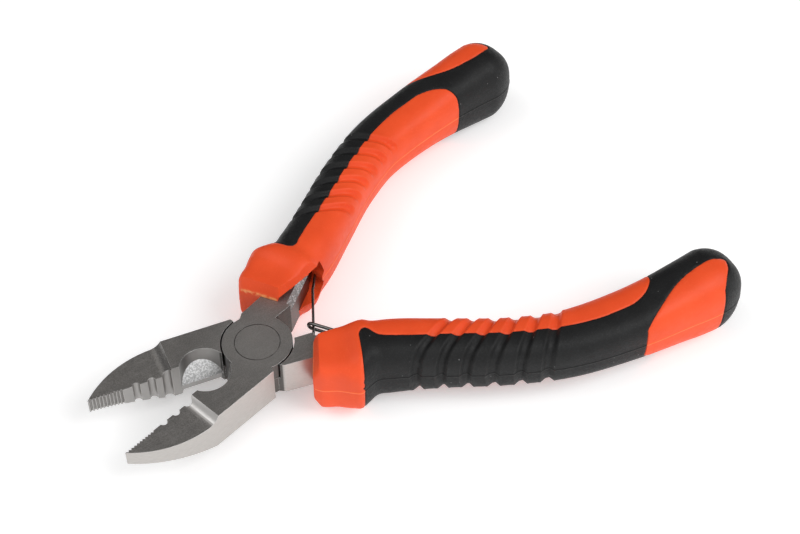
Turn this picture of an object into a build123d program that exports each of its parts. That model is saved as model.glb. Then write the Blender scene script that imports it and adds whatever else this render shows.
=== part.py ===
"""Fishing pliers: two lap-jointed steel levers on a flush rivet, each with a two-colour moulded
grip, opened by a pair of crossing spring wires.

Frame: millimetres, +Z up. The origin is on the pivot axis, level with the underside of the head.
+X runs from the pivot towards the handles. Each lever is drawn with the pliers closed, its jaw on
the -Y side of the jaw line and its handle on the +Y side, and is then swung open about the pivot.
The upper lever is drawn that way; the lower lever is its mirror image across the jaw line.
"""
from build123d import *
from math import cos, radians, sin
import os

# ---- head -------------------------------------------------------------------------------------
HEAD_THICK = 9.0            # thickness over both lap halves
LAP_Z = HEAD_THICK / 2      # the lap joint's mid plane
LAP_GAP = 0.04              # running gap between the two lap halves
OPEN_HALF_ANGLE = 12.25     # each lever's swing from closed to the resting, open position
JAW_GAP = 0.10              # air left between the closed jaws

DISC_R = 7.5                # round boss of each lap half
RECESS_R = 7.85             # round recess that the other lever's boss turns in
RIVET_SHANK_R = 3.2
RIVET_HEAD_R = 4.8
RIVET_HEAD_T = 1.6
RIVET_CLEARANCE = 0.05      # radial running clearance in the upper lever
RIVET_FACE_CLEARANCE = 0.03

# ---- jaws -------------------------------------------------------------------------------------
JAW_EDGE = -8.1             # straight outer edge of the jaw
JAW_TIP_X = -37.2
NOSE_START_X = -20.0        # where the outer edge starts to curve to the tip
NOSE_R = 22.3               # radius of that curve
NOSE_MID_ANGLE = -118       # direction, from the curve's centre, of a point halfway along it
JAW_REAR = ((-3.2, JAW_EDGE), (-2.8, -7.4))     # the jaw's edge ends beside the round boss
RAMP_TOP_X = -18.9
RAMP_MID = (-19.8, 7.95)
RAMP_FOOT_X = -21.6
NOSE_TOP = 7.4              # top face of the thinner nose
BEYOND_TIP_X = -40.0
UNDER_START_X = -20.0       # the underside rises from here to the tip
UNDER_MID = (-27.6, 2.35)
UNDER_TIP = (-38.0, 3.7)

TOOTH_COUNT = 10
TOOTH_FIRST_X = -36.6
TOOTH_PITCH = 0.74
TOOTH_DEPTH = 0.36
TOOTH_HALF_WIDTH = 0.30
NOTCHES = ((-26.75, 0.80), (-23.4, 0.85), (-20.1, 1.0))   # station and radius of each round notch

POCKET_CENTRE = (-12.65, 2.0)
POCKET_R = 5.1
CUTTER_EDGE_Z = 2.5         # height of the cutting edge at the jaw line; it slopes up at 45 degrees
CUTTER_DEPTH = 3.4          # how far back from the jaw line the cutter reaches
CUTTER_RELIEF = 1.0         # the underside leaves the base this far back from the jaw line
CUTTER_JOIN = 0.05          # the cutter is this much larger than its pocket, to be one with the jaw

# ---- tang -------------------------------------------------------------------------------------
SHOULDER = ((1.8, 7.3), (2.7, 7.8), (3.1, 8.1))
NECK_OUTER = (9.4, 8.5)
NECK_INNER = (12.0, 2.1)
NECK_INNER_CORNER = (6.0, 1.9)
TANG_WIDE_END = ((22.0, 13.9), (22.0, 6.7))     # outer and inner corners where full thickness ends
TANG_SLIM = ((22.0, 13.4), (35.0, 17.9), (50.0, 23.0), (60.0, 25.4),
             (60.0, 21.4), (50.0, 18.6), (35.0, 13.0), (22.0, 7.2))
TANG_SLIM_THICK = 5.4
LEDGE_DEPTH = 0.9           # forged bevel along the tang's inner edges, as wide in plan
LEDGE_HEIGHT = 2.2          # and as tall

# ---- grips ------------------------------------------------------------------------------------
GRIP_LINE_POINTS = ((9.3, 8.6), (20.0, 10.9), (35.0, 15.4), (50.0, 20.7),
                    (63.0, 23.8), (76.0, 24.0), (90.0, 22.2), (103.6, 20.5))
# cross-sections: distance along the grip, width outwards and inwards of the line, half thickness, mid height
GRIP_SECTIONS = (
    (0.0, 4.6, 4.9, 5.9, 4.6), (1.6, 5.3, 6.0, 7.4, 4.8), (4.3, 6.2, 5.9, 7.4, 4.9),
    (7.3, 7.9, 6.3, 7.7, 5.0), (9.9, 8.2, 7.4, 8.4, 5.1), (12.2, 6.2, 7.3, 8.2, 5.2),
    (15.0, 5.5, 7.25, 7.9, 5.3), (22.0, 5.6, 7.0, 7.4, 5.4), (37.0, 6.2, 6.2, 6.8, 5.4),
    (53.0, 6.2, 6.3, 6.65, 5.4), (63.0, 6.2, 6.95, 6.75, 5.4), (73.0, 6.6, 7.0, 7.4, 5.4),
    (84.0, 7.6, 7.0, 9.0, 5.4), (89.0, 7.75, 7.4, 9.6, 5.4), (92.8, 6.9, 6.6, 8.6, 5.4),
    (95.6, 4.8, 4.6, 6.0, 5.4), (96.9, 2.7, 2.6, 3.4, 5.4),
)
CORNER_SHARE = 0.62         # corner radius of a cross-section, as a share of its half width
OVERMOULD_THICK = 1.4       # thickness of the soft overmould
OVERMOULD_FROM = 10.4       # the overmould starts behind the guard, at this distance
# edge of the overmould seen from above: distance along the grip and sideways offset
COLOUR_LINE = ((10.4, -1.6), (13.5, -0.4), (19.0, 0.0), (37.0, 0.0), (53.0, 0.0),
               (65.0, 0.1), (70.0, -0.2), (73.5, -1.5), (75.8, -3.4), (77.2, -6.0))
PATCH_LINE = ((69.6, 6.0), (72.0, 4.6), (75.0, 3.0), (79.5, 1.0), (85.0, -0.2), (90.2, -0.3),
              (92.8, 0.8), (92.2, 2.6), (90.4, 4.8), (88.9, 6.6))
PATCH_ENDS = (69.0, 88.5)   # where the patch's sides leave the grip's outer side
OVERMOULD_UNDER = 78.0      # where the overmould's edge leaves the grip's inner side
FAR_OUT = 14.0              # clear of the grip on every side
BEYOND_BUTT_X = 122.0
BESIDE_BUTT_Y = (10.0, 42.0)
SLOT_BOTTOM_Z = 0.8
SLOT_TOP_Z = HEAD_THICK
# the slot along the collar's inner side, up to the tang's inner face
SLOT_PLAN = ((4.0, -8.0), (25.0, -8.0), (25.0, 8.6), NECK_INNER, (4.0, NECK_INNER[1]))

# ---- opening springs --------------------------------------------------------------------------
WIRE_Z = 4.75
SINGLE_WIRE_R = 0.35
LOOP_WIRE_R = 0.40
LOOP_HALF_HEIGHT = 1.25
SINGLE_WIRE_ROUTE = ((10.25, -6.42), (20.8, 4.3), (24.3, 6.9), (29.5, 9.4))
LOOP_WIRE_ROUTE = ((12.9, -3.3), (21.2, 4.7), (24.3, 6.5), (29.5, 9.0))
WIRE_BEND_R = 2.0

os.makedirs("parts", exist_ok=True)

with BuildLine() as centre:
    Spline(*GRIP_LINE_POINTS)
CENTRE_LINE = centre.edges()[0]


def beside(distance, sideways):
    """Plan point at a distance along the grip and a sideways offset, positive outwards."""
    point = CENTRE_LINE.position_at(distance, position_mode=PositionMode.LENGTH)
    along = CENTRE_LINE.tangent_at(distance, position_mode=PositionMode.LENGTH)
    return (point.X - along.Y * sideways, point.Y + along.X * sideways)


def across(distance, mid_z):
    """Plane across the grip: x outwards, y upwards."""
    point = CENTRE_LINE.position_at(distance, position_mode=PositionMode.LENGTH)
    along = CENTRE_LINE.tangent_at(distance, position_mode=PositionMode.LENGTH)
    return Plane(origin=(point.X, point.Y, mid_z), x_dir=(-along.Y, along.X, 0), z_dir=along)


def cutter_blade():
    """Half-moon blade inside the round pocket, sloping down to its edge at the jaw line."""
    with BuildPart() as blade:
        with BuildSketch(Plane.YZ.offset(POCKET_CENTRE[0])):
            Polygon((-JAW_GAP / 2, CUTTER_EDGE_Z), (-CUTTER_DEPTH, CUTTER_EDGE_Z + CUTTER_DEPTH),
                    (-CUTTER_DEPTH, 0), (-CUTTER_RELIEF, 0), align=None)
        extrude(amount=POCKET_R, both=True)
        with BuildSketch(Plane.XY):
            with Locations(POCKET_CENTRE):
                Circle(POCKET_R + CUTTER_JOIN)
        extrude(amount=HEAD_THICK, mode=Mode.INTERSECT)
    return blade.part


def jaw_lever(upper):
    """Steel lever, drawn closed: jaw, its half of the lap joint, and tang."""
    own_from = LAP_Z + LAP_GAP / 2 if upper else 0
    other_from = -LAP_GAP / 2 if upper else LAP_Z - LAP_GAP / 2
    half_height = LAP_Z - LAP_GAP / 2
    blade = cutter_blade()
    with BuildPart() as lever:
        with BuildSketch(Plane.XY):
            with BuildLine():
                nose = (JAW_TIP_X, -JAW_GAP / 2)
                Line((0, -JAW_GAP / 2), nose)
                middle = radians(NOSE_MID_ANGLE)
                ThreePointArc(
                    nose,
                    (NOSE_START_X + NOSE_R * cos(middle), JAW_EDGE + NOSE_R + NOSE_R * sin(middle)),
                    (NOSE_START_X, JAW_EDGE),
                )
                Polyline((NOSE_START_X, JAW_EDGE), *JAW_REAR, (0, -JAW_GAP / 2))
            make_face()
            with BuildLine():
                Polyline((0, NECK_INNER_CORNER[1]), *SHOULDER, NECK_OUTER, TANG_WIDE_END[0],
                         TANG_WIDE_END[1], NECK_INNER, NECK_INNER_CORNER, close=True)
            make_face()
        extrude(amount=HEAD_THICK)
        # lap joint: half the thickness goes, and the round boss of this lever's half stays
        with BuildSketch(Plane.XY.offset(other_from)):
            Circle(RECESS_R)
        extrude(amount=LAP_Z + LAP_GAP, mode=Mode.SUBTRACT)
        with BuildSketch(Plane.XY.offset(own_from)):
            Circle(DISC_R)
        extrude(amount=half_height)
        # the nose is thinner: a hollow ramp on top and a rising underside
        with BuildSketch(Plane.XZ):
            with BuildLine():
                ThreePointArc((RAMP_TOP_X, HEAD_THICK), RAMP_MID, (RAMP_FOOT_X, NOSE_TOP))
                Polyline((RAMP_FOOT_X, NOSE_TOP), (BEYOND_TIP_X, NOSE_TOP), (BEYOND_TIP_X, HEAD_THICK + 1),
                         (RAMP_TOP_X, HEAD_THICK + 1), (RAMP_TOP_X, HEAD_THICK))
            make_face()
            with BuildLine():
                ThreePointArc((UNDER_START_X, 0), UNDER_MID, UNDER_TIP)
                Polyline(UNDER_TIP, (UNDER_TIP[0], -1), (UNDER_START_X, -1), (UNDER_START_X, 0))
            make_face()
        extrude(amount=FAR_OUT, both=True, mode=Mode.SUBTRACT)
        # fine teeth at the tip and round notches behind them
        with BuildSketch(Plane.XY):
            with Locations([(TOOTH_FIRST_X + i * TOOTH_PITCH, -JAW_GAP / 2) for i in range(TOOTH_COUNT)]):
                Polygon((-TOOTH_HALF_WIDTH, 0.01), (TOOTH_HALF_WIDTH, 0.01), (0, -TOOTH_DEPTH), align=None)
            for station, radius in NOTCHES:
                with Locations((station, 0)):
                    Circle(radius)
        extrude(amount=HEAD_THICK, mode=Mode.SUBTRACT)
        # round pocket with the cutter's half-moon blade across it
        with BuildSketch(Plane.XY):
            with Locations(POCKET_CENTRE):
                Circle(POCKET_R)
        extrude(amount=HEAD_THICK, mode=Mode.SUBTRACT)
        add(blade)
        # slim tang inside the grip
        with BuildSketch(Plane.XY.offset(LAP_Z - TANG_SLIM_THICK / 2)):
            Polygon(*TANG_SLIM, align=None)
        extrude(amount=TANG_SLIM_THICK)
        # forged bevels along the tang's inner edges
        run = Vector(*TANG_WIDE_END[1]) - Vector(*NECK_INNER)
        along_tang = Plane(origin=(*NECK_INNER, 0), x_dir=(-run.Y, run.X, 0), z_dir=run)
        with BuildSketch(along_tang):
            Polygon((-1, HEAD_THICK + 1), (LEDGE_DEPTH, HEAD_THICK + 1), (LEDGE_DEPTH, HEAD_THICK),
                    (0, HEAD_THICK - LEDGE_HEIGHT), (-1, HEAD_THICK - LEDGE_HEIGHT), align=None)
        extrude(amount=run.length + 1, mode=Mode.SUBTRACT)
        # rivet hole: a running fit in the upper lever, tight in the lower one
        ease = RIVET_CLEARANCE if upper else 0
        with BuildSketch(Plane.XY):
            Circle(RIVET_SHANK_R + ease)
        extrude(amount=HEAD_THICK, mode=Mode.SUBTRACT)
        head_floor = HEAD_THICK - RIVET_HEAD_T - RIVET_FACE_CLEARANCE if upper else 0
        with BuildSketch(Plane.XY.offset(head_floor)):
            Circle(RIVET_HEAD_R + ease)
        extrude(amount=RIVET_HEAD_T + (RIVET_FACE_CLEARANCE if upper else 0), mode=Mode.SUBTRACT)
    return lever.part


def pivot_rivet():
    """Flush rivet with a head at each end."""
    with BuildPart() as rivet:
        with BuildSketch(Plane.XY):
            Circle(RIVET_HEAD_R)
        extrude(amount=RIVET_HEAD_T)
        with BuildSketch(Plane.XY):
            Circle(RIVET_SHANK_R)
        extrude(amount=HEAD_THICK)
        with BuildSketch(Plane.XY.offset(HEAD_THICK - RIVET_HEAD_T)):
            Circle(RIVET_HEAD_R)
        extrude(amount=RIVET_HEAD_T)
    return rivet.part


def grip_envelope(inset):
    """The grip's outside shape, or that shape drawn in by an inset."""
    with BuildPart() as envelope:
        for distance, outwards, inwards, half_thick, mid_z in GRIP_SECTIONS:
            half_width = (outwards + inwards) / 2
            with BuildSketch(across(distance, mid_z)):
                with Locations(((outwards - inwards) / 2, 0)):
                    RectangleRounded(2 * (half_width - inset), 2 * (half_thick - inset),
                                     CORNER_SHARE * (half_width - inset))
        loft()
    return envelope.part


def overmould_region():
    """Everything that the soft overmould may fill, seen from above."""
    with BuildPart() as region:
        with BuildSketch(Plane.XY.offset(-FAR_OUT)):
            with BuildLine():
                edge = Spline(*[beside(*point) for point in COLOUR_LINE])
                Polyline(edge @ 1, beside(OVERMOULD_UNDER, -FAR_OUT), (BEYOND_BUTT_X, BESIDE_BUTT_Y[0]),
                         (BEYOND_BUTT_X, BESIDE_BUTT_Y[1]), beside(OVERMOULD_FROM, FAR_OUT), edge @ 0)
            make_face()
            with BuildLine():
                patch = Spline(*[beside(*point) for point in PATCH_LINE])
                Polyline(patch @ 1, beside(PATCH_ENDS[1], FAR_OUT), beside(PATCH_ENDS[0], FAR_OUT), patch @ 0)
            make_face(mode=Mode.SUBTRACT)
        extrude(amount=3 * FAR_OUT)
    return region.part


def wire(route, radius):
    """Round wire along a plan route at mid height, with a gentle bend at each corner."""
    with BuildPart() as bent:
        with BuildLine(Plane.XY.offset(WIRE_Z)) as path:
            FilletPolyline(*route, radius=WIRE_BEND_R)
        with BuildSketch(Plane(origin=path.line @ 0, z_dir=path.line % 0)):
            Circle(radius)
        sweep()
    return bent.part


def loop_wire(route, radius):
    """Hairpin: two legs one above the other, joined by a half round at the free end."""
    leg = wire(route, radius)
    free_end = Vector(*route[0], WIRE_Z)
    inwards = Vector(*route[1]) - Vector(*route[0])
    with BuildPart() as bend:
        with BuildLine(Plane(origin=free_end, x_dir=inwards, z_dir=(inwards.Y, -inwards.X, 0))):
            CenterArc((0, 0), LOOP_HALF_HEIGHT, 90, 180)
        top = free_end + Vector(0, 0, LOOP_HALF_HEIGHT)
        with BuildSketch(Plane(origin=top, z_dir=inwards)):
            Circle(radius)
        sweep()
    return leg.moved(Pos(0, 0, LOOP_HALF_HEIGHT)) + bend.part + leg.moved(Pos(0, 0, -LOOP_HALF_HEIGHT))


def window_slot():
    """Slot that leaves the tang's inner face bare and gives the spring its room."""
    with BuildPart() as slot:
        with BuildSketch(Plane.XY.offset(SLOT_BOTTOM_Z)):
            Polygon(*SLOT_PLAN, align=None)
        extrude(amount=SLOT_TOP_Z - SLOT_BOTTOM_Z)
    return slot.part


def place(shape, upper):
    """Swing a closed lever's piece to its resting place; the lower lever mirrors the upper."""
    if upper:
        return Rot(0, 0, OPEN_HALF_ANGLE) * shape
    return Rot(0, 0, -OPEN_HALF_ANGLE) * mirror(shape, about=Plane.XZ)


def save(shape, name):
    shape.label = name
    export_step(shape, f"parts/{name}.step")


envelope = grip_envelope(0)
overmould = (envelope - grip_envelope(OVERMOULD_THICK)) & overmould_region()

for upper, name in ((True, "upper"), (False, "lower")):
    lever = jaw_lever(upper)
    spring = wire(SINGLE_WIRE_ROUTE, SINGLE_WIRE_R) if upper else loop_wire(LOOP_WIRE_ROUTE, LOOP_WIRE_R)
    core = envelope - overmould - window_slot() - lever - spring
    spring_name = "upper_spring_wire" if upper else "lower_spring_loop"
    save(place(lever, upper), f"{name}_jaw_lever")
    save(place(core, upper), f"{name}_grip_core")
    save(place(overmould, upper), f"{name}_grip_overmould")
    save(place(spring, upper), spring_name)

save(pivot_rivet(), "pivot_rivet")
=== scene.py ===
"""Looks of the fishing pliers: steel finishes for the CAD levers and rivet, detailed two-colour
grips and spring wires that stand for the plain CAD ones, and a pale studio.

Lengths are millimetres until a point is placed, because that is how the object is drawn. A grip or a
wire is drawn on the closed upper lever, whose handle lies on the +Y side, and is then swung open about
the pivot; the lower lever is its mirror image.
"""

from math import cos, pi, radians, sin

import bpy
import numpy as np
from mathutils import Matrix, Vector


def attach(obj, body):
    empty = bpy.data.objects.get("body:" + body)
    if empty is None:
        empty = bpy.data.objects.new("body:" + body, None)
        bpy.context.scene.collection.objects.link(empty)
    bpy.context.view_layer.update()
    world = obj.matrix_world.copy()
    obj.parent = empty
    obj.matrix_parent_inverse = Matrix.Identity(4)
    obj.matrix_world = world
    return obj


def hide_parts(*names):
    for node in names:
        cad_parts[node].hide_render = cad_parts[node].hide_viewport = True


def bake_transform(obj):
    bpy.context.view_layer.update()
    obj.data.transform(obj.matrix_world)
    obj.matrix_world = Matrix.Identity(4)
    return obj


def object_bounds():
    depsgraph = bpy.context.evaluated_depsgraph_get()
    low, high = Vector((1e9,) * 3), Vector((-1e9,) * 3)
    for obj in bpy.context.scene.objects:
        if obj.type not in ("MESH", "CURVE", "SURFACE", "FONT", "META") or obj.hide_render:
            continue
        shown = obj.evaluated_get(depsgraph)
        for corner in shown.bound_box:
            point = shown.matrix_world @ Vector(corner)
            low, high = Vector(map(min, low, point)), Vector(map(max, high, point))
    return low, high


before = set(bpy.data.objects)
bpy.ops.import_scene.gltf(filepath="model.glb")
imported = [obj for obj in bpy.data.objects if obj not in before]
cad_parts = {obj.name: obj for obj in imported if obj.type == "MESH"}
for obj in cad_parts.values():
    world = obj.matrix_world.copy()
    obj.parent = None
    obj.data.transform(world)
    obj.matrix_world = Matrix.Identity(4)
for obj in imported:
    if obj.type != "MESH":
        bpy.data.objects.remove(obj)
cad_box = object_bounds()

MM = 0.001
OPEN_HALF_ANGLE = radians(12.25)    # each lever's swing from closed to the resting, open position

# ---- grip: the centre line in plan, and profiles by distance along it --------------------------
GRIP_LINE = ((9.3, 8.6), (20.0, 10.9), (35.0, 15.4), (50.0, 20.7),
             (63.0, 23.8), (76.0, 24.0), (90.0, 22.2), (103.6, 20.5))
BUTT_FROM = 88.5                    # the rounded butt starts here
BUTT_FULLNESS = 0.8                 # below 1, the butt is fuller than an ellipse
OUTER_SIDE = ((0, 5.1), (1.5, 6.1), (4.4, 6.8), (7, 7.9), (9.2, 8.3), (11, 7.0), (13, 5.6), (16, 5.45),
              (20, 5.5), (27, 5.9), (35, 6.15), (43, 6.2), (51, 6.2), (58, 6.15), (65, 6.25), (72, 6.55),
              (79, 6.95), (85, 7.4), (89, 7.5))
INNER_SIDE = ((0, 4.9), (1.5, 6.0), (4.4, 5.85), (7, 6.2), (9.2, 7.2), (11, 7.5), (13, 7.2), (16, 7.2),
              (20, 7.1), (27, 6.6), (35, 6.25), (43, 6.1), (51, 6.2), (58, 6.75), (65, 7.0), (72, 7.0),
              (79, 6.75), (85, 7.0), (89, 7.4))
HALF_THICK = ((0, 6.98), (1.6, 7.0), (4.4, 7.05), (7, 7.5), (9.2, 8.3), (11, 8.4), (13, 7.9),
              (16, 7.8), (20, 7.5), (27, 7.1), (35, 6.8), (43, 6.65), (51, 6.6), (58, 6.6), (65, 6.8),
              (72, 7.3), (79, 8.25), (85, 9.1), (89, 9.5))
MID_Z = ((0, 5.25), (4.4, 5.2), (8, 5.0), (12, 5.2), (20, 5.4), (50, 5.45), (85, 5.4), (100, 5.4))
SQUARENESS = ((0, 6.5), (5, 6.0), (8, 3.9), (11, 3.3), (20, 3.1), (50, 3.1), (80, 3.0), (97, 2.6))
FRONT_SKEW = 0.17                   # the collar's front leans forwards on the outer side: mm per mm sideways
FRONT_SKEW_END = 6.0
RIM_ROUND = 0.25                    # rounding of the collar's front rim
CHAMFER_LENGTH = 1.29               # the collar's front chamfer, top and bottom
CHAMFER_START = 4.35                # half thickness at the chamfer's front
CHAMFER_SLOPE = 2.05
# facet over the window: its lower edge sideways and in height, each at the front and as a slope along
FACET_SIDE = (-4.3, -0.2)
FACET_Z = (9.6, 0.05)
FACET_LEAN = 0.35                   # mm towards the outer side per mm of height
FACET_END = 13.0
# spacing of the rings along the grip: from, to, step
RING_STEPS = ((RIM_ROUND, CHAMFER_LENGTH, 0.13), (CHAMFER_LENGTH, 8, 0.25), (8, 14, 0.2),
              (14, 23, 0.35), (23, 53, 0.19), (53, 68, 0.35), (68, BUTT_FROM, 0.28))
BUTT_TURNS = np.radians(np.arange(2, 90, 2.2))
ROUND_STEPS = 150
SLACK = 0.01                        # a length too small to matter

# ---- grip: finger grooves ---------------------------------------------------------------------
GROOVE_FIRST = 25.6                 # the first groove's middle, on the centre line
GROOVE_PITCH = 5.12
GROOVE_COUNT = 6
GROOVE_LEAN = (0.78, 0.38)          # how far the first and last groove lean along the grip, per mm sideways
# a groove's depth across it, with a raised lip on each side
GROOVE_SHAPE = ((-1.85, 0), (-1.5, -0.08), (-0.5, 0.8), (0.45, 1), (1.35, -0.08), (1.65, 0))
GROOVE_DEPTH = 0.85
# where a groove fades out, as an angle round the section from the outer side
GROOVE_FADE = (radians(136), radians(156))
GROOVE_FADE_UNDER = (radians(100), radians(122))

# ---- grip: colour boundary, seen from above, as (distance along, sideways) ---------------------
OVERMOULD_FROM = {True: 12.2, False: 9.8}       # where the black starts on the upper and lower grip
COLOUR_FRONT = {True: ((12.2, 2.0), (12.4, 0.6), (13.0, -0.3), (13.8, -0.55)),
                False: ((9.9, -1.0), (10.3, -2.0), (11.0, -2.65), (11.9, -2.6), (12.8, -1.8), (13.8, -0.9))}
COLOUR_LINE = ((15.5, -0.35), (19, -0.1), (37, 0), (53, 0), (65, 0.1), (70, -0.2), (73.5, -1.5),
               (75.8, -3.4), (77.2, -6.0))
PATCH_LINE = ((69.6, 6.0), (72.0, 4.6), (75.0, 3.0), (79.5, 1.0), (85.0, -0.2), (90.2, -0.3),
              (92.8, 0.8), (92.2, 2.6), (90.4, 4.8), (88.9, 6.6))
COLOUR_LINE_END = 78.0
PATCH_CORNERS = (88.5, 69.0)        # where the patch's outline leaves the grip and comes back
FAR_OUT = 14.0
PAST_BUTT = 110.0
# small teeth of the black's front edge: height, size, half height; how near the edge and how far out they lie
SHUT_OFF = ((6.3, 0.55, 0.32), (8.2, 0.2, 0.5))
SHUT_OFF_REACH = 2.0
SHUT_OFF_SIDE = 1.0
EDGE_DROP = 0.13                    # both colours dip by this at their boundary
EDGE_BAND = 0.30
EDGE_HIDDEN = 0.7                   # the covered colour is gone this far past the boundary
OVERMOULD_THICK = 1.35
PARTING_Z = 5.3
PARTING_HEIGHT = 0.09
PARTING_HALF = 0.16
FLASH_WIDTH = 0.10                  # thin pale flash along the collar's front edge, on top only
FLASH_ABOVE = 9.0

# ---- window through the collar's inner side, down to the tang ------------------------------------
# outline seen from the inner side: x and height; its rear edge is ragged
WINDOW = ((4.0, 1.6), (4.0, 9.75), (24.3, 10.45),
          (25.1, 7.0), (24.2, 6.0), (24.1, 5.1), (24.8, 3.9), (24.3, 2.9), (22.8, 2.1))
WINDOW_BACK = ((4.0, 1.7), (25.0, 11.4))        # line in plan that the window reaches in to
WINDOW_FRONT_Y = -8.0

# ---- opening springs ---------------------------------------------------------------------------
WIRE_Z = 4.75
SINGLE_WIRE_R = 0.30
LOOP_WIRE_R = 0.38
LOOP_HALF_HEIGHT = 0.80
SINGLE_WIRE_ROUTE = ((10.25, -6.42), (20.8, 4.3), (24.3, 6.9), (29.5, 9.4))
LOOP_WIRE_ROUTE = ((13.3, -2.9), (21.2, 4.7), (24.3, 6.5), (29.5, 9.0))
WIRE_BEND_R = 2.0

# ---- steel: its tones, and where its finish changes ----------------------------------------------
FLAT_DARK, FLAT_LIGHT = 0.19, 0.32
SIDE_DARK, SIDE_LIGHT = 0.44, 0.52
RIVET_R = 4.82
RIVET_RING = (0.06, 0.13)           # the dark ring round the rivet fades over these distances from its edge
WEAR_AND_HIGHLIGHT_R = (5.4, 6.0)                 # edges are worn and carry a painted highlight outside this radius
LIGHTER_R = (3.0, 13.0)             # the flats are a little lighter near the pivot
RECESS_SHADE_R = (8.2, 8.4)               # painted shade: the lap joint's recess, darkened in colour, lies inside this radius
# a side faces the opening where its normal times its place across is well under zero
INWARD_Y = (-1.2, -0.2)
NECK_X = (2.0, 4.0)
TANG_X = (9.0, 10.5)
# where a band starts, is full, begins to fade and is gone: along the closed lever, and by upward tilt
BLADE_X = (-18.0, -17.5, -7.0, -6.0)
BLADE_TILT = (0.60, 0.66, 0.76, 0.82)
RAMP_X = (-22.1, -21.8, -18.7, -18.5)
EDGE_ROUND_R = 0.12

# ---- studio --------------------------------------------------------------------------------------
CAMERA_AIM = (38.8, 2.8, 5.0)
CAMERA_DISTANCE = 382.9
CAMERA_AZIMUTH = radians(-35.18)
CAMERA_ELEVATION = radians(48.47)
CAMERA_LENS = 77.6
FRONT = (-0.576, -0.817, 0.0)       # level direction from the object towards the viewer
ROOM_LIGHT = (0.05, 1.00)           # radiance of the room behind the object and in front of it
FLOOR_GLOW = 0.31
FLOOR_REACH = 3.0
# name, azimuth and elevation in degrees, distance and size in metres, power in watts
SOFT_BOXES = (("left_box", -130, 55, 1.2, 0.9, 2.5), ("right_box", 35, 45, 1.2, 0.9, 7.0))


# ---- curves and placing --------------------------------------------------------------------------
def curve_through(points, at):
    """Smooth curve through (x, y) points, read at the given x values."""
    x, y = np.array(points, float).T
    slope = np.gradient(y, x)
    i = np.clip(np.searchsorted(x, at) - 1, 0, len(x) - 2)
    span = x[i + 1] - x[i]
    t = np.clip((at - x[i]) / span, 0, 1)
    return ((1 + 2 * t) * (1 - t) ** 2 * y[i] + t * (1 - t) ** 2 * span * slope[i]
            + t * t * (3 - 2 * t) * y[i + 1] - t * t * (1 - t) * span * slope[i + 1])


def smooth_path(points, count):
    """Evenly spaced points along a smooth path, with the distance of each."""
    points = np.array(points, float)
    chord = np.concatenate([[0], np.cumsum(np.linalg.norm(np.diff(points, axis=0), axis=1))])
    fine = np.linspace(0, chord[-1], 20 * count)
    dense = np.stack([curve_through(np.stack([chord, axis], 1), fine) for axis in points.T], 1)
    length = np.concatenate([[0], np.cumsum(np.linalg.norm(np.diff(dense, axis=0), axis=1))])
    distance = np.linspace(0, length[-1], count)
    return np.stack([np.interp(distance, length, axis) for axis in dense.T], 1), distance


CENTRE, CENTRE_DISTANCE = smooth_path(GRIP_LINE, 400)


def placed(points, upper):
    """Points of the closed lever, in mm, where they are at rest, in metres."""
    side = 1 if upper else -1
    x, y, z = points[:, 0], side * points[:, 1], points[:, 2]
    c, s = cos(side * OPEN_HALF_ANGLE), sin(side * OPEN_HALF_ANGLE)
    return np.stack([c * x - s * y, s * x + c * y, z], 1) * MM


def piece(name, points, faces, upper, attributes=()):
    """A mesh object of a closed lever's points and faces, swung to its place at rest."""
    if not upper:
        faces = [face[::-1] for face in faces]
    mesh = bpy.data.meshes.new(name)
    mesh.from_pydata(placed(points, upper).tolist(), [], faces)
    for key, values in dict(attributes).items():
        mesh.attributes.new(key, "FLOAT", "POINT").data.foreach_set("value", values.astype(np.float32))
    mesh.shade_smooth()
    mesh.set_sharp_from_angle(angle=radians(40))
    made = bpy.data.objects.new(name, mesh)
    bpy.context.scene.collection.objects.link(made)
    return made


# ---- grip -------------------------------------------------------------------------------------
def ring_places():
    """Distance along the grip and share of the full section, for each ring from collar to butt."""
    length = CENTRE_DISTANCE[-1]
    front = [(0.0, share) for share in (0.25, 0.5, 0.75, 0.9)]
    rim = [(RIM_ROUND * (1 - cos(a)), 1 - RIM_ROUND / 6 * (1 - sin(a))) for a in (0, pi / 6, pi / 3, pi / 2)]
    body = []
    for start, end, step in RING_STEPS:
        count = round((end - start) / step)
        body += [(start + (end - start) * (i + 1) / count, 1.0) for i in range(count)]
    butt = [(BUTT_FROM + (length - BUTT_FROM) * sin(a), cos(a) ** BUTT_FULLNESS) for a in BUTT_TURNS]
    return np.array(front + rim + body + butt)


def ring_angles():
    """Angles round a section, from the outer side over the top, closer together at the parting line."""
    even = np.linspace(0, 2 * pi, ROUND_STEPS, endpoint=False)
    close = np.radians(np.arange(-3.6, 3.7, 0.6))
    return np.unique(np.round(np.concatenate([even, close % (2 * pi), close + pi]), 5))


def inside(polygon, x, y):
    """Which points lie inside a closed polygon."""
    hit = np.zeros(x.shape, bool)
    for (x1, y1), (x2, y2) in zip(polygon, np.roll(polygon, -1, axis=0)):
        if y1 != y2:
            crosses = (y1 > y) != (y2 > y)
            hit ^= crosses & (x < (x2 - x1) * (y - y1) / (y2 - y1) + x1)
    return hit


def signed_distance(outline, x, y):
    """Distance to a polygon's outline in plan, positive inside."""
    closed = np.vstack([outline, outline[:1]])
    steps = [np.linspace(a, b, max(2, int(np.hypot(*(b - a)) / 0.1)), endpoint=False)
             for a, b in zip(closed, closed[1:])]
    line = np.vstack(steps)
    nearest = np.full(x.shape, np.inf)
    for px, py in line:
        np.minimum(nearest, (x - px) ** 2 + (y - py) ** 2, out=nearest)
    return np.where(inside(outline, x, y), 1, -1) * np.sqrt(nearest)


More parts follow.
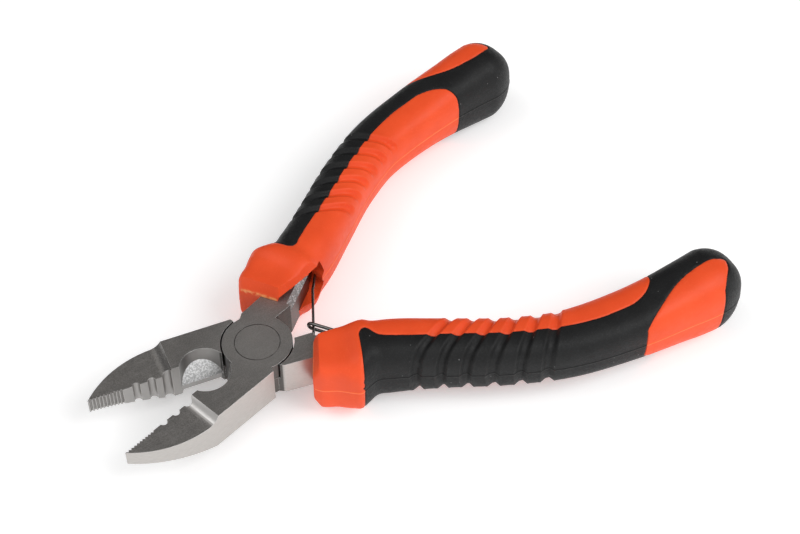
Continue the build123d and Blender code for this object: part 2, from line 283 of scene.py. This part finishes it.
def colour_depth(s, u, z, upper):
    """How far a point lies inside the black colour, in mm, negative in the orange."""
    line = smooth_path(COLOUR_FRONT[upper] + COLOUR_LINE, 140)[0]
    start = OVERMOULD_FROM[upper]
    beyond = [(COLOUR_LINE_END, -FAR_OUT), (PAST_BUTT, -FAR_OUT), (PAST_BUTT, FAR_OUT)]
    black = np.vstack([[(start, FAR_OUT)], line, beyond])
    patch = np.vstack([smooth_path(PATCH_LINE, 90)[0], [(corner, FAR_OUT) for corner in PATCH_CORNERS]])
    depth = signed_distance(black, s, u)
    near_front = np.clip(1 - abs(s - start) / SHUT_OFF_REACH, 0, 1) * (u > SHUT_OFF_SIDE)
    for height, size, half in SHUT_OFF:
        depth = depth + near_front * size * np.exp(-((z - height) / half) ** 2)
    return np.minimum(depth, -signed_distance(patch, s, u))


def grip_surface():
    """The grip's grid of points before colours part: points, outward normals and what lies where."""
    places, angle = ring_places(), ring_angles()
    s, around = np.meshgrid(places[:, 0], angle, indexing="ij")
    share = np.repeat(places[:, 1:], len(angle), axis=1)
    c, si = np.cos(around), np.sin(around)
    half_width = np.where(c > 0, curve_through(OUTER_SIDE, s), curve_through(INNER_SIDE, s)) * share
    chamfer = CHAMFER_START + CHAMFER_SLOPE * s
    half_thick = np.where(s < CHAMFER_LENGTH - SLACK, chamfer, curve_through(HALF_THICK, s)) * share
    power = curve_through(SQUARENESS, s)
    radius = (abs(c / half_width) ** power + abs(si / half_thick) ** power) ** (-1 / power)
    u = radius * c
    z = curve_through(MID_Z, s) + radius * si
    above = z - np.polyval(FACET_Z[::-1], s)
    facet = np.polyval(FACET_SIDE[::-1], s) + FACET_LEAN * above
    u = np.where((above > 0) & (s < FACET_END) & (share == 1), np.maximum(u, facet), u)
    line = [np.interp(s, CENTRE_DISTANCE, axis) for axis in CENTRE.T]
    heading = [np.interp(s, CENTRE_DISTANCE, axis) for axis in np.gradient(CENTRE, CENTRE_DISTANCE, axis=0).T]
    ahead = FRONT_SKEW * u * np.clip(1 - s / FRONT_SKEW_END, 0, 1)
    points = np.stack([line[0] - heading[1] * u - heading[0] * ahead,
                       line[1] + heading[0] * u - heading[1] * ahead, z], 2)
    along = np.gradient(points, axis=0)
    turning = np.roll(points, -1, axis=1) - np.roll(points, 1, axis=1)
    normal = np.cross(turning, along)
    normal /= np.linalg.norm(normal, axis=2, keepdims=True) + 1e-12
    return points, normal, s, u, z, around


def groove_depth(s, u, around):
    """How deep the finger grooves are at each point: full over the outer side, top and bottom."""
    depth = np.zeros_like(s)
    for i, lean in enumerate(np.linspace(*GROOVE_LEAN, GROOVE_COUNT)):
        across_groove = s + lean * u - (GROOVE_FIRST + i * GROOVE_PITCH)
        depth += np.interp(across_groove, *np.array(GROOVE_SHAPE).T)
    from_outer = np.minimum(around, 2 * pi - around)
    begin, end = (np.where(around > pi, *pair) for pair in zip(GROOVE_FADE_UNDER, GROOVE_FADE))
    fade = np.clip((end - from_outer) / (end - begin), 0, 1)
    return GROOVE_DEPTH * depth * fade ** 2 * (3 - 2 * fade)


def drop(depth):
    """How far a colour's surface lies under the grip's, by its depth inside its own area."""
    return np.interp(depth, (-EDGE_HIDDEN, 0, 0.4 * EDGE_BAND, EDGE_BAND),
                     (OVERMOULD_THICK - 0.1, EDGE_DROP, 0.3 * EDGE_DROP, 0))


def grid_faces(rings, sides):
    """Quads of a tube of rings, with a fan at each end; the two poles are the last two points."""
    faces = []
    for i in range(rings - 1):
        a, b = i * sides, (i + 1) * sides
        faces += [(a + j, a + (j + 1) % sides, b + (j + 1) % sides, b + j) for j in range(sides)]
    front, butt = rings * sides, rings * sides + 1
    last = (rings - 1) * sides
    faces += [(front, (j + 1) % sides, j) for j in range(sides)]
    faces += [(butt, last + j, last + (j + 1) % sides) for j in range(sides)]
    return faces


def with_poles(values):
    """A ring grid's values as a flat list, with a pole's value at each end."""
    flat = values.reshape(-1, *values.shape[2:])
    return np.concatenate([flat, values[:1].mean(axis=1), values[-1:].mean(axis=1)])


def grips():
    """The orange body and black overmould of both levers."""
    points, normal, s, u, z, around = grip_surface()
    faces = grid_faces(*s.shape)
    groove = groove_depth(s, u, around)
    ridge = np.exp(-((z - PARTING_Z) / PARTING_HALF) ** 2) * (s > RIM_ROUND)
    skin = points + normal * (PARTING_HEIGHT * ridge - groove)[..., None]
    lining = with_poles(points - normal * OVERMOULD_THICK)
    marks = {"seam": with_poles(ridge),
             "flash": with_poles(np.exp(-(s / FLASH_WIDTH) ** 2) * (z > FLASH_ABOVE))}
    orange_finish, black_finish = orange_plastic(), black_rubber()
    for upper, side in ((True, "upper"), (False, "lower")):
        depth = colour_depth(s, u, z, upper)
        orange = with_poles(skin - normal * drop(-depth)[..., None])
        black = with_poles(skin - normal * drop(depth)[..., None])
        flat_depth = with_poles(depth)
        kept = [face for face in faces if max(flat_depth[list(face)]) > -EDGE_HIDDEN]
        body = piece(f"{side}_grip_body", orange, faces, upper, marks)
        cut_window(body, upper)
        shell, shell_faces, shell_marks = closed_shell(black, lining, kept, marks)
        cover = piece(f"{side}_grip_cover", shell, shell_faces, upper, shell_marks)
        for grip, node, slot, finish in ((body, "core", "orange_plastic", orange_finish),
                                         (cover, "overmould", "black_overmould", black_finish)):
            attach(grip, f"{side}_lever")
            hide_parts(f"{side}_grip_{node}")
            grip.data.materials.append(finish)


def closed_shell(outside, lining, faces, marks):
    """A closed shell from some faces of a surface and the same faces of its lining."""
    used = sorted({i for face in faces for i in face})
    new = {old: i for i, old in enumerate(used)}
    count = len(used)
    outer = [tuple(new[i] for i in face) for face in faces]
    edges = dict.fromkeys((a, b) for face in outer for a, b in zip(face, face[1:] + face[:1]))
    walls = [(b, a, a + count, b + count) for a, b in edges if (b, a) not in edges]
    inner = [tuple(i + count for i in face[::-1]) for face in outer]
    points = np.concatenate([outside[used], lining[used]])
    doubled = {key: np.concatenate([values[used], values[used]]) for key, values in marks.items()}
    return points, outer + inner + walls, doubled


def cut_window(body, upper):
    """Cuts the window that leaves the tang's inner side bare."""
    (x0, y0), (x1, y1) = WINDOW_BACK
    near = [(x, WINDOW_FRONT_Y, z) for x, z in WINDOW]
    far = [(x, y0 + (x - x0) * (y1 - y0) / (x1 - x0), z) for x, z in WINDOW]
    n = len(WINDOW)
    faces = [tuple(range(n))[::-1], tuple(range(n, 2 * n))]
    faces += [(i, (i + 1) % n, n + (i + 1) % n, n + i) for i in range(n)]
    cutter = piece("window_cutter", np.array(near + far, float), faces, upper)
    cut = body.modifiers.new("window", "BOOLEAN")
    cut.operation, cut.solver, cut.object = "DIFFERENCE", "EXACT", cutter
    bpy.context.view_layer.update()
    body.data = bpy.data.meshes.new_from_object(body.evaluated_get(bpy.context.evaluated_depsgraph_get()))
    body.modifiers.clear()
    bpy.data.objects.remove(cutter)
    body.data.set_sharp_from_angle(angle=radians(40))


# ---- springs ---------------------------------------------------------------------------------
def rounded(route, radius, steps=6):
    """A route with each corner turned on a circle of that radius."""
    route = [np.array(p, float) for p in route]
    path = [route[0]]
    for before, corner, after in zip(route, route[1:], route[2:]):
        back, ahead = before - corner, after - corner
        back /= np.linalg.norm(back)
        ahead /= np.linalg.norm(ahead)
        half = np.arccos(np.clip(back @ ahead, -1, 1)) / 2
        reach = radius / np.tan(half)
        centre = corner + (back + ahead) / np.linalg.norm(back + ahead) * radius / sin(half)
        start, end = corner + back * reach - centre, corner + ahead * reach - centre
        for i in range(steps + 1):
            t = i / steps
            turn = start * (1 - t) + end * t
            path.append(centre + turn / np.linalg.norm(turn) * radius)
    return path + [route[-1]]


def tube(name, path, radius, upper, finish):
    """Round wire along a path of the closed lever, as a mesh."""
    line = bpy.data.curves.new(name, "CURVE")
    line.dimensions, line.bevel_depth, line.bevel_resolution, line.use_fill_caps = "3D", radius * MM, 5, True
    spline = line.splines.new("POLY")
    spline.points.add(len(path) - 1)
    for point, place in zip(spline.points, placed(np.array(path), upper)):
        point.co = (*place, 1)
    rough = bpy.data.objects.new(name, line)
    bpy.context.scene.collection.objects.link(rough)
    bpy.context.view_layer.update()
    mesh = bpy.data.meshes.new_from_object(rough)
    bpy.data.objects.remove(rough)
    mesh.name = name
    mesh.shade_smooth()
    mesh.set_sharp_from_angle(angle=radians(50))
    wire = bpy.data.objects.new(name, mesh)
    bpy.context.scene.collection.objects.link(wire)
    wire.data.materials.append(finish)
    return wire


def springs():
    """The upper lever's single wire and the lower lever's hairpin."""
    single = rounded([(*p, WIRE_Z) for p in SINGLE_WIRE_ROUTE], WIRE_BEND_R)
    leg = rounded([(*p, WIRE_Z) for p in LOOP_WIRE_ROUTE], WIRE_BEND_R)
    inwards = np.array([*np.subtract(LOOP_WIRE_ROUTE[1], LOOP_WIRE_ROUTE[0]), 0.0])
    inwards /= np.linalg.norm(inwards)
    rise = np.array([0, 0, LOOP_HALF_HEIGHT])
    half_round = [leg[0] - inwards * LOOP_HALF_HEIGHT * sin(a) + rise * cos(a)
                  for a in np.linspace(0, pi, 13)[1:-1]]
    hairpin = [p + rise for p in leg[::-1]] + half_round + [p - rise for p in leg]
    finish = spring_wire()
    for name, node, path, radius, (tip, root, *_), own, other in (
            ("upper_spring", "upper_spring_wire", single, SINGLE_WIRE_R, SINGLE_WIRE_ROUTE,
             "upper_lever", "lower_lever"),
            ("lower_spring", "lower_spring_loop", hairpin, LOOP_WIRE_R, LOOP_WIRE_ROUTE,
             "lower_lever", "upper_lever")):
        upper = own == "upper_lever"
        wire = tube(name, path, radius, upper, finish)
        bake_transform(wire)
        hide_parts(node)


# ---- node helpers --------------------------------------------------------------------------------
def new_material(name):
    """A material with its node tree and its Principled shader."""
    material = bpy.data.materials.new(name)
    material.use_nodes = True
    return material, material.node_tree, material.node_tree.nodes["Principled BSDF"]


def add(tree, kind, inputs=(), **settings):
    """A shader node; each input, by name or place, is a value or the socket that feeds it."""
    node = tree.nodes.new("ShaderNode" + kind)
    for key, value in settings.items():
        setattr(node, key, value)
    for key, value in dict(inputs).items():
        if isinstance(value, bpy.types.NodeSocket):
            tree.links.new(value, node.inputs[key])
        else:
            node.inputs[key].default_value = value
    return node


def place_in(tree, **mapping):
    """The object's own coordinates in metres, scaled or turned."""
    return add(tree, "Mapping", {"Vector": add(tree, "TexCoord").outputs["Object"], **mapping}).outputs[0]


def noise(tree, scale, detail=2.0, stretch=(1, 1, 1)):
    """Noise over the object's own coordinates; scale is in blobs per metre."""
    place = place_in(tree, Scale=stretch)
    return add(tree, "TexNoise", {"Vector": place, "Scale": scale, "Detail": detail}).outputs[0]


def spread(tree, value, low, high, to_low=0.0, to_high=1.0):
    """A value's range from low to high, taken to another range and held there."""
    return add(tree, "MapRange", {0: value, 1: low, 2: high, 3: to_low, 4: to_high}).outputs[0]


def calc(tree, operation, a, b=0.0):
    """A number worked out from one or two others."""
    return add(tree, "Math", {0: a, 1: b}, operation=operation).outputs[0]


def product(tree, *factors):
    """All the factors multiplied."""
    result = factors[0]
    for factor in factors[1:]:
        result = calc(tree, "MULTIPLY", result, factor)
    return result


def spread_mm(tree, value, limits, to_low=0.0, to_high=1.0):
    """As spread, with a pair of limits in millimetres."""
    return spread(tree, value, limits[0] * MM, limits[1] * MM, to_low, to_high)


def band(tree, value, start, full, fade, end, unit=1.0):
    """1 from full to fade, and 0 before start and after end."""
    return product(tree, spread(tree, value, start * unit, full * unit),
                   spread(tree, value, fade * unit, end * unit, 1.0, 0.0))


def mixed(tree, share, a, b):
    """Colour a where share is 0, and colour b where it is 1."""
    return add(tree, "Mix", {0: share, 6: a, 7: b}, data_type="RGBA").outputs[2]


def bump(tree, height, strength, distance, normal=None):
    """Surface relief of that height in metres."""
    inputs = {"Height": height, "Strength": strength, "Distance": distance}
    if normal is not None:
        inputs["Normal"] = normal
    return add(tree, "Bump", inputs).outputs[0]


def tone(value, warmth=0.0):
    """A grey, a little warmer or cooler."""
    return (value * (1 + warmth), value, value * (1 - warmth), 1)


def feed(tree, shader, **sockets):
    """Links or sets the shader's sockets; an underscore in a name stands for a space."""
    for key, value in sockets.items():
        socket = shader.inputs[key.replace("_", " ")]
        if isinstance(value, bpy.types.NodeSocket):
            tree.links.new(value, socket)
        else:
            socket.default_value = value


# ---- materials -----------------------------------------------------------------------------------
def orange_plastic():
    """Satin orange plastic: fine moulded grain, slight unevenness, a lighter parting line."""
    material, tree, shader = new_material("grip_orange")
    cloud = spread(tree, noise(tree, 160, 3), 0.3, 0.7)
    colour = mixed(tree, cloud, (0.78, 0.074, 0.016, 1), (0.85, 0.086, 0.020, 1))
    fleck = spread(tree, noise(tree, 2600, 1), 0.62, 0.72)
    colour = mixed(tree, product(tree, fleck, 0.35), colour, (0.88, 0.115, 0.034, 1))
    seam = add(tree, "Attribute", attribute_name="seam").outputs["Fac"]
    colour = mixed(tree, product(tree, seam, 0.75), colour, (0.95, 0.22, 0.07, 1))
    flash = add(tree, "Attribute", attribute_name="flash").outputs["Fac"]
    patches = noise(tree, 900, 3)
    ragged = product(tree, flash, spread(tree, patches, 0.35, 0.6))
    colour = mixed(tree, ragged, colour, (0.95, 0.36, 0.13, 1))
    waves = bump(tree, noise(tree, 420, 2), 0.12, 0.4 * MM)
    relief = bump(tree, noise(tree, 5200, 2), 0.25, 0.03 * MM, waves)
    gloss = spread(tree, patches, 0.3, 0.7, 0.40, 0.52)
    feed(tree, shader, Base_Color=colour, Roughness=gloss, Normal=relief, Subsurface_Weight=0.08,
         Subsurface_Scale=0.001, Subsurface_Radius=(1.0, 0.3, 0.12), Specular_IOR_Level=0.25)
    return material


def black_rubber():
    """Matte black overmould: fine sandy grain, pale specks of lint, a darker parting line."""
    material, tree, shader = new_material("grip_black")
    cloud = spread(tree, noise(tree, 240, 3), 0.3, 0.7)
    colour = mixed(tree, cloud, tone(0.0055, -0.03), tone(0.0095, -0.03))
    grit = spread(tree, noise(tree, 3800, 2), 0.56, 0.70)
    colour = mixed(tree, product(tree, grit, 0.5), colour, tone(0.026, -0.03))
    cells = add(tree, "TexVoronoi", {"Vector": place_in(tree), "Scale": 700.0})
    speck = spread(tree, cells.outputs["Distance"], 0.05, 0.10, 1.0, 0.0)
    chosen = spread(tree, add(tree, "SeparateColor", {0: cells.outputs["Color"]}).outputs[0], 0.80, 0.82)
    colour = mixed(tree, product(tree, speck, chosen, 0.7), colour, tone(0.30))
    seam = add(tree, "Attribute", attribute_name="seam").outputs["Fac"]
    colour = mixed(tree, product(tree, seam, 0.9), colour, tone(0.0015))
    waves = bump(tree, noise(tree, 500, 2), 0.10, 0.4 * MM)
    relief = bump(tree, noise(tree, 4200, 3), 0.9, 0.1 * MM, waves)
    gloss = spread(tree, noise(tree, 1500, 3), 0.3, 0.7, 0.40, 0.54)
    feed(tree, shader, Base_Color=colour, Roughness=gloss, Normal=relief, Specular_IOR_Level=0.24)
    return material


def steel(name, turned, ramp_lit):
    """Tool steel: blasted dark flats, brighter ground sides, a bright blade, worn edges with a painted
    highlight.

    The body is turned by this angle from open to closed; its ramp keeps the bright side tone as far as asked,
    and is otherwise painted dark as shade.
    """
    material, tree, shader = new_material(name)
    geometry = add(tree, "NewGeometry")
    facing = add(tree, "SeparateXYZ", {0: geometry.outputs["True Normal"]})
    tilt = calc(tree, "ABSOLUTE", facing.outputs[2])
    x, y, _ = add(tree, "SeparateXYZ", {0: place_in(tree)}).outputs
    along = add(tree, "SeparateXYZ", {0: place_in(tree, Rotation=(0, 0, turned))}).outputs[0]
    radius = calc(tree, "SQRT", calc(tree, "ADD", product(tree, x, x), product(tree, y, y)))

    # blasted flats with faint brushing, lighter near the pivot
    grain = noise(tree, 5200, 2)
    fine = spread(tree, grain, 0.35, 0.65)
    cloud = spread(tree, noise(tree, 260, 4), 0.3, 0.7)
    brushed = spread(tree, noise(tree, 2600, 2, (0.08, 1, 1)), 0.55, 0.75)
    blasted = mixed(tree, fine, tone(FLAT_DARK, 0.06), tone(FLAT_LIGHT, 0.05))
    blasted = mixed(tree, product(tree, cloud, 0.35), blasted, tone(FLAT_DARK * 0.85, 0.03))
    blasted = mixed(tree, product(tree, brushed, 0.25), blasted, tone(FLAT_LIGHT * 1.2, 0.03))
    lighter = spread_mm(tree, radius, LIGHTER_R, 0.30, 0.0)
    blasted = mixed(tree, lighter, blasted, tone(FLAT_LIGHT * 1.5, 0.04))

    # ground sides, darker on the faces towards the opening and darkest there in the neck, and painted shade in
    # the lap joint's recess
    lines = spread(tree, noise(tree, 900, 3, (1, 1, 7)), 0.3, 0.7)
    ground = mixed(tree, lines, tone(SIDE_DARK, 0.05), tone(SIDE_LIGHT, 0.04))
    inward = spread_mm(tree, product(tree, facing.outputs[1], y), INWARD_Y, 1.0, 0.0)
    in_neck = spread_mm(tree, x, NECK_X)
    inward_dark = mixed(tree, in_neck, tone(0.40, 0.03), mixed(tree, lines, tone(0.07, 0.10), tone(0.13, 0.08)))
    ground = mixed(tree, inward, ground, inward_dark)
    on_tang = product(tree, spread_mm(tree, x, TANG_X), spread(tree, tilt, 0.15, 0.25))
    forged = mixed(tree, spread(tree, noise(tree, 2200, 3), 0.5, 0.66), tone(0.20, 0.02), tone(0.60))
    ground = mixed(tree, on_tang, ground, forged)
    # painted shade: the sides inside the lap joint's recess are darkened
    recess_shade = spread_mm(tree, radius, RECESS_SHADE_R, 0.85, 0.0)
    ground = mixed(tree, recess_shade, ground, tone(0.05, 0.06))

    # speckled bright blade, and the ramp of the jaw's nose
    speckle = spread(tree, noise(tree, 3000, 3), 0.42, 0.60)
    on_blade = product(tree, band(tree, tilt, *BLADE_TILT), band(tree, along, *BLADE_X, MM))
    ground = mixed(tree, on_blade, ground, mixed(tree, speckle, tone(0.40), tone(0.68)))
    on_ramp = product(tree, band(tree, along, *RAMP_X, MM), spread(tree, tilt, 0.25, 0.32))
    ramp = mixed(tree, fine, tone(FLAT_DARK * 0.6, 0.05), tone(FLAT_LIGHT * 0.65, 0.04))
    # painted shade: the ramp keeps the bright side tone as far as asked, and is otherwise painted dark
    ramp = mixed(tree, ramp_lit, ramp, tone(SIDE_LIGHT, 0.03))
    ground = mixed(tree, on_ramp, ground, ramp)

    # worn edges with a painted highlight, and the dark ring round the rivet
    flat = spread(tree, tilt, 0.90, 0.97)
    colour = mixed(tree, flat, ground, blasted)
    rounding = add(tree, "Bevel", {"Radius": EDGE_ROUND_R * MM}, samples=4).outputs[0]
    across = add(tree, "VectorMath", {0: rounding, 1: geometry.outputs["True Normal"]},
                 operation="DOT_PRODUCT").outputs["Value"]
    edge = spread(tree, across, 0.90, 0.99, 1.0, 0.0)
    # edges away from the pivot are lightened, partly as wear and partly as a painted highlight
    wear_and_highlight = product(tree, edge, spread(tree, noise(tree, 1300, 3), 0.3, 0.6, 0.15, 0.8),
                   spread_mm(tree, radius, WEAR_AND_HIGHLIGHT_R))
    colour = mixed(tree, wear_and_highlight, colour, tone(0.80, 0.01))
    from_ring = calc(tree, "ABSOLUTE", calc(tree, "SUBTRACT", radius, RIVET_R * MM))
    ring = spread_mm(tree, from_ring, RIVET_RING, 0.8, 0.0)
    ring = product(tree, ring, spread(tree, noise(tree, 400, 2), 0.35, 0.5, 0.3, 1.0))
    colour = mixed(tree, ring, colour, tone(0.03))

    side_gloss, flat_gloss = spread(tree, lines, 0, 1, 0.30, 0.40), spread(tree, fine, 0, 1, 0.44, 0.58)
    gloss = add(tree, "Mix", {0: flat, 2: side_gloss, 3: flat_gloss}).outputs[0]
    relief = bump(tree, lines, 0.08, 0.03 * MM, bump(tree, grain, 0.35, 0.03 * MM, rounding))
    feed(tree, shader, Base_Color=colour, Roughness=gloss, Normal=relief, Metallic=1.0)
    return material


def spring_wire():
    """Drawn spring wire: dark steel with fine lines."""
    material, tree, shader = new_material("drawn_wire")
    lines = spread(tree, noise(tree, 2400, 3, (0.3, 0.3, 3)), 0.35, 0.65)
    colour = mixed(tree, lines, tone(0.10, 0.05), tone(0.24, 0.03))
    gloss = spread(tree, noise(tree, 1800, 2), 0.3, 0.7, 0.24, 0.40)
    feed(tree, shader, Base_Color=colour, Roughness=gloss, Metallic=1.0,
         Normal=bump(tree, lines, 0.15, 0.03 * MM))
    return material


def steel_parts():
    """Finishes of the carried-over CAD levers and rivet."""
    # the lower lever's ramp is painted dark as shade; the upper lever's keeps the bright side tone
    for node, name, turned, ramp_lit in (("upper_jaw_lever", "upper_steel", -OPEN_HALF_ANGLE, 1.0),
                                           ("lower_jaw_lever", "lower_steel", OPEN_HALF_ANGLE, 0.0),
                                           ("pivot_rivet", "rivet_steel", 0.0, 0.0)):
        finish = steel(name, turned, ramp_lit)
        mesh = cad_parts[node].data
        mesh.materials.clear()
        mesh.materials.append(finish)


# ---- studio --------------------------------------------------------------------------------------
def aimed(name, data, azimuth, elevation, distance):
    """A lamp or camera at that bearing and distance from the aim point, turned to it."""
    made = bpy.data.objects.new(name, data)
    back = Vector((sin(azimuth) * cos(elevation), -cos(azimuth) * cos(elevation), sin(elevation)))
    made.location = Vector(CAMERA_AIM) * MM + back * distance
    made.rotation_euler = (-back).to_track_quat("-Z", "Y").to_euler()
    bpy.context.scene.collection.objects.link(made)
    return made


def studio():
    """Pale floor under the pliers, soft lights and the camera."""
    mesh = bpy.data.meshes.new("floor")
    corners = ((-1, -1), (1, -1), (1, 1), (-1, 1))
    mesh.from_pydata([(x * FLOOR_REACH, y * FLOOR_REACH, cad_box[0].z) for x, y in corners], [], [(0, 1, 2, 3)])
    floor = bpy.data.objects.new("floor", mesh)
    bpy.context.scene.collection.objects.link(floor)
    material, tree, shader = new_material("floor_paper")
    paper = mixed(tree, noise(tree, 60, 3), tone(0.86), tone(0.90))
    feed(tree, shader, Base_Color=paper, Roughness=0.9, Specular_IOR_Level=0.2,
         Emission_Color=(1, 1, 1, 1), Emission_Strength=FLOOR_GLOW)
    mesh.materials.append(material)

    world = bpy.data.worlds.new("studio")
    bpy.context.scene.world = world
    world.use_nodes = True
    tree = world.node_tree
    direction = add(tree, "TexCoord").outputs["Generated"]
    front = add(tree, "VectorMath", {0: direction, 1: FRONT}, operation="DOT_PRODUCT").outputs["Value"]
    tree.links.new(spread(tree, front, -1, 1, *ROOM_LIGHT), tree.nodes["Background"].inputs["Strength"])
    tree.nodes["Background"].inputs["Color"].default_value = (1, 1, 1, 1)
    for name, azimuth, elevation, distance, size, power in SOFT_BOXES:
        light = bpy.data.lights.new(name, "AREA")
        light.shape, light.size, light.energy = "DISK", size, power
        aimed(name, light, radians(azimuth), radians(elevation), distance)

    lens = bpy.data.cameras.new("camera")
    lens.lens, lens.clip_start = CAMERA_LENS, 0.01
    bpy.context.scene.camera = aimed("camera", lens, CAMERA_AZIMUTH, CAMERA_ELEVATION, CAMERA_DISTANCE * MM)
    bpy.context.scene.view_settings.view_transform = "Standard"


studio()
steel_parts()
grips()
springs()
